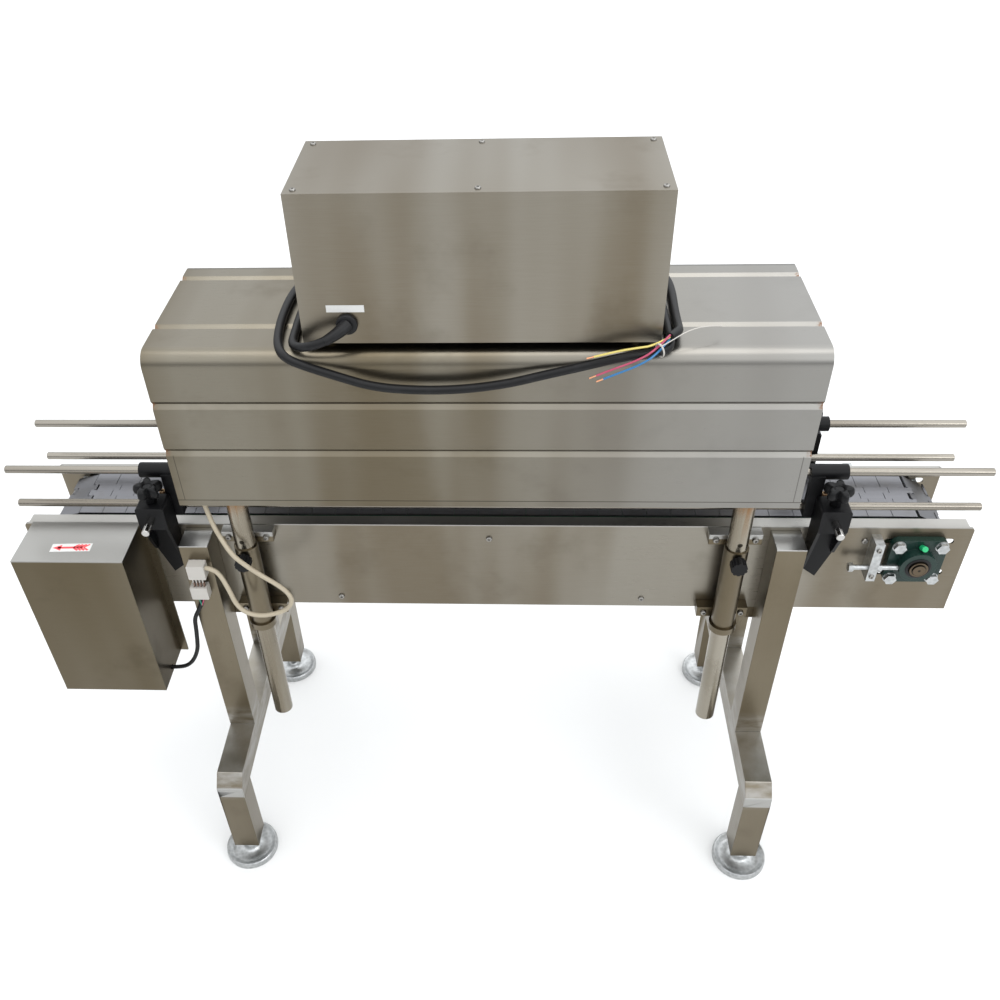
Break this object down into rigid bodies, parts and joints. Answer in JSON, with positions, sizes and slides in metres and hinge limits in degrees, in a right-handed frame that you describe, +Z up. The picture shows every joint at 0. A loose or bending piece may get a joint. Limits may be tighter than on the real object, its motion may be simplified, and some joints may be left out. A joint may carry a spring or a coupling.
{
  "type": "heat shrink tunnel",
  "caption": "Heat shrink tunnel hood on two height-adjustable columns over a slat-top chain conveyor with guide rails and H-frame legs.",
  "frame": {"origin": "on the floor, under the middle of the conveyor", "axes": "+X along the conveyor, away from the motor end; +Z up; -Y is the service side, with the columns and the motor guard"},
  "size_m": [1.5, 0.55, 1.2492],
  "materials": {
    "sheet_steel": "satin",
    "tube_steel": "satin",
    "chain_steel": "satin",
    "rod_steel": "satin",
    "bright_steel": "polished",
    "zinc": "satin",
    "black_nylon": "matte",
    "wear_plastic": "matte",
    "bearing_green": "satin",
    "cap_green": "gloss",
    "black_rubber": "matte",
    "cream_rubber": "matte",
    "white_nylon": "matte",
    "wire_copper": "satin",
    "motor_paint": "satin",
    "gear_alloy": "satin",
    "heater_steel": "satin",
    "display_black": "gloss",
    "control_plastic": "matte"
  },
  "bodies": {
    "conveyor": {"side_plate_near": "sheet_steel", "side_plate_far": "sheet_steel", "uprights": "tube_steel", "base_frames": "tube_steel", "cross_members": "tube_steel", "bed_rails": "tube_steel", "wear_strips": "wear_plastic", "slat_chain": "chain_steel", "bearing_housings": "bearing_green", "bearing_bolts": "zinc", "grease_caps": "cap_green", "takeup_jacks": "zinc", "gear_unit": "gear_alloy", "gear_motor": "motor_paint", "motor_guard": "sheet_steel", "column_sleeves": "tube_steel", "sleeve_brackets": "tube_steel", "guide_bases": "black_nylon", "machine_screws": "bright_steel", "motor_lead": "black_rubber", "lead_socket": "white_nylon", "lead_plug": "white_nylon", "control_lead": "cream_rubber"},
    "drive": {"drive_shaft": "bright_steel", "drive_sprocket": "wear_plastic"},
    "idler": {"idler_shaft": "bright_steel", "idler_sprocket": "wear_plastic"},
    "motor_rotor": {"motor_rotor": "motor_paint"},
    "near_rails": {"guide_rods_near": "rod_steel", "rail_holders_near": "black_nylon", "spindles_near": "bright_steel"},
    "far_rails": {"guide_rods_far": "rod_steel", "rail_holders_far": "black_nylon", "spindles_far": "bright_steel"},
    "hood": {"hood_shell": "sheet_steel", "hood_ends": "sheet_steel", "tunnel_liner": "sheet_steel", "heaters": "heater_steel", "columns": "tube_steel", "column_plates": "sheet_steel", "control_box": "sheet_steel", "control_lid": "sheet_steel", "lid_screws": "bright_steel", "control_gear": "control_plastic", "temperature_display": "display_black", "mains_gland": "black_rubber", "mains_cord": "black_rubber", "cord_wires": "wire_copper"},
    "speed_knob": {"speed_knob": "black_nylon"},
    "power_switch": {"power_switch": "display_black"},
    "foot_left_near": {"foot_left_near": "zinc"},
    "foot_left_far": {"foot_left_far": "zinc"},
    "foot_right_near": {"foot_right_near": "zinc"},
    "foot_right_far": {"foot_right_far": "zinc"},
    "star_knob_left_near": {"star_knob_left_near": "black_nylon"},
    "star_knob_left_far": {"star_knob_left_far": "black_nylon"},
    "star_knob_right_near": {"star_knob_right_near": "black_nylon"},
    "star_knob_right_far": {"star_knob_right_far": "black_nylon"},
    "lock_knob_left": {"lock_knob_left": "black_nylon"},
    "lock_knob_right": {"lock_knob_right": "black_nylon"}
  },
  "joints": [
    {"name": "hood_lift", "type": "slide", "parent": "conveyor", "child": "hood", "axis": [0, 0, 1], "range_m": [-0.05, 0.14], "deforming": ["control_lead"]},
    {"name": "near_rail_slide", "type": "slide", "parent": "conveyor", "child": "near_rails", "axis": [0, 1, 0], "range_m": [0, 0.025]},
    {"name": "far_rail_slide", "type": "slide", "parent": "conveyor", "child": "far_rails", "axis": [0, -1, 0], "range_m": [0, 0.025]},
    {"name": "drive_spin", "type": "hinge", "parent": "conveyor", "child": "drive", "pos_m": [-0.66675, 0, 0.63], "axis": [0, 1, 0], "continuous": true, "deforming": ["slat_chain"]},
    {"name": "idler_spin", "type": "hinge", "parent": "conveyor", "child": "idler", "pos_m": [0.66675, 0, 0.63], "axis": [0, 1, 0], "continuous": true},
    {"name": "motor_spin", "type": "hinge", "parent": "conveyor", "child": "motor_rotor", "pos_m": [-0.64, -0.137, 0.43], "axis": [0, 0, 1], "continuous": true},
    {"name": "speed_knob_turn", "type": "hinge", "parent": "hood", "child": "speed_knob", "pos_m": [0.02, 0.055, 1.15], "axis": [0, -1, 0], "range_deg": [0, 270]},
    {"name": "power_switch_rock", "type": "hinge", "parent": "hood", "child": "power_switch", "pos_m": [0.13, 0.05, 1.15], "axis": [0, 0, 1], "range_deg": [-8, 8]},
    {"name": "foot_left_near_turn", "type": "hinge", "parent": "conveyor", "child": "foot_left_near", "pos_m": [-0.461, -0.227, 0.03], "axis": [0, 0, 1], "continuous": true},
    {"name": "star_knob_left_near_turn", "type": "hinge", "parent": "conveyor", "child": "star_knob_left_near", "pos_m": [-0.516, -0.1, 0.776], "axis": [0, 0, 1], "range_deg": [0, 360]},
    {"name": "foot_left_far_turn", "type": "hinge", "parent": "conveyor", "child": "foot_left_far", "pos_m": [-0.461, 0.227, 0.03], "axis": [0, 0, 1], "continuous": true},
    {"name": "star_knob_left_far_turn", "type": "hinge", "parent": "conveyor", "child": "star_knob_left_far", "pos_m": [-0.516, 0.1, 0.776], "axis": [0, 0, 1], "range_deg": [0, 360]},
    {"name": "lock_knob_left_turn", "type": "hinge", "parent": "conveyor", "child": "lock_knob_left", "pos_m": [-0.381, -0.139, 0.663], "axis": [0, 1, 0], "range_deg": [0, 360]},
    {"name": "foot_right_near_turn", "type": "hinge", "parent": "conveyor", "child": "foot_right_near", "pos_m": [0.461, -0.227, 0.03], "axis": [0, 0, 1], "continuous": true},
    {"name": "star_knob_right_near_turn", "type": "hinge", "parent": "conveyor", "child": "star_knob_right_near", "pos_m": [0.516, -0.1, 0.776], "axis": [0, 0, 1], "range_deg": [0, 360]},
    {"name": "foot_right_far_turn", "type": "hinge", "parent": "conveyor", "child": "foot_right_far", "pos_m": [0.461, 0.227, 0.03], "axis": [0, 0, 1], "continuous": true},
    {"name": "star_knob_right_far_turn", "type": "hinge", "parent": "conveyor", "child": "star_knob_right_far", "pos_m": [0.516, 0.1, 0.776], "axis": [0, 0, 1], "range_deg": [0, 360]},
    {"name": "lock_knob_right_turn", "type": "hinge", "parent": "conveyor", "child": "lock_knob_right", "pos_m": [0.381, -0.139, 0.663], "axis": [0, 1, 0], "range_deg": [0, 360]}
  ],
  "couplings": [
    {"joint": "idler_spin", "follows": "drive_spin", "ratio": 1},
    {"joint": "motor_spin", "follows": "drive_spin", "ratio": 30}
  ]
}
